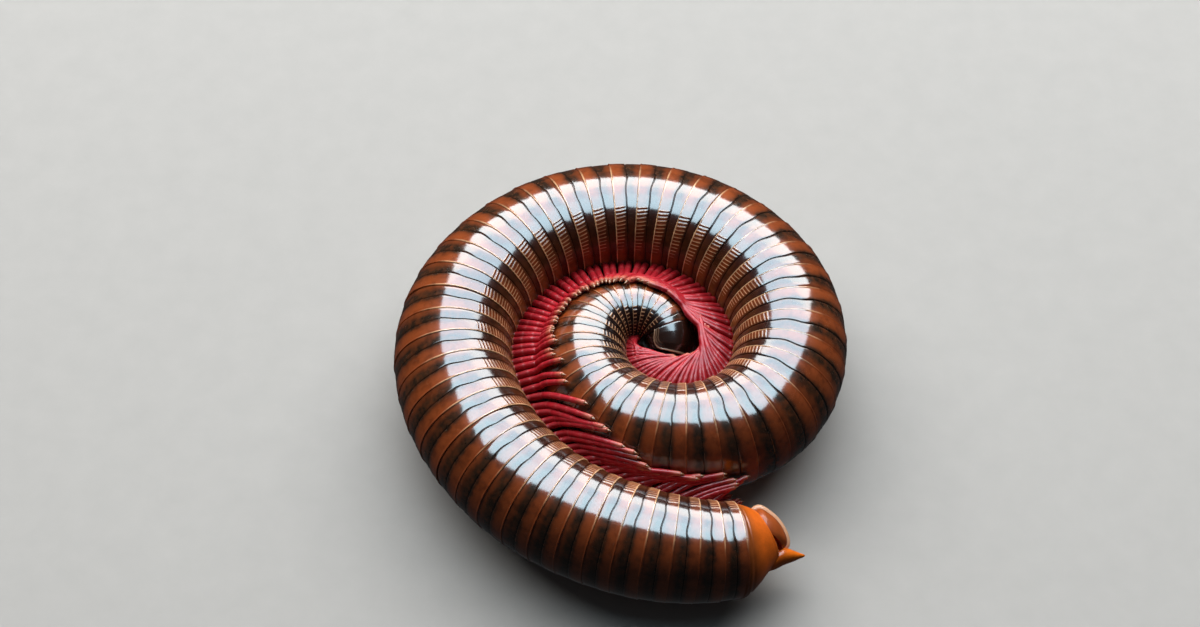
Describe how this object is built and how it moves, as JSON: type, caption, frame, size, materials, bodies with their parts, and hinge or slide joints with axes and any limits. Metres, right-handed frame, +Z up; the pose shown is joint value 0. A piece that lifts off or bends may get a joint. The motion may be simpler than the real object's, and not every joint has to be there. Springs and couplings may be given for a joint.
{
  "type": "millipede",
  "caption": "Giant millipede lying on its side in a flat coil: a ringed, tube-shaped body that tapers at both ends, legs fringing its inner side, head tucked in at the centre.",
  "frame": {"origin": "on the floor, under the centre of the coil's box", "axes": "+Z up from the floor; +Y towards the far side of the coil as the picture shows it, +X to the picture's right, where the tail's spine points"},
  "size_m": [0.0438, 0.0483, 0.0118],
  "materials": {
    "cuticle": "glossy brown ring cuticle with rust rear bands",
    "leg": "glossy dark red leg cuticle",
    "head_shield": "glossy near-black cuticle",
    "tail_cuticle": "satin orange cuticle",
    "valve": "satin red-brown cuticle with a pale rim",
    "feeler": "satin red-brown, finely haired",
    "eyelets": "glossy black"
  },
  "bodies": {
    "root": {"body_length_01": "cuticle", "body_length_02": "cuticle", "body_length_03": "cuticle", "body_length_04": "cuticle", "body_length_05": "cuticle", "body_length_06": "cuticle", "body_length_07": "cuticle", "body_length_08": "cuticle", "body_length_09": "cuticle", "body_length_10": "cuticle", "collum": "head_shield", "head": "head_shield", "eye_right": "eyelets", "eye_left": "eyelets", "antenna_right": "feeler", "antenna_left": "feeler", "telson": "tail_cuticle", "anal_valve_right": "valve", "anal_valve_left": "valve"}
  },
  "joints": []
}
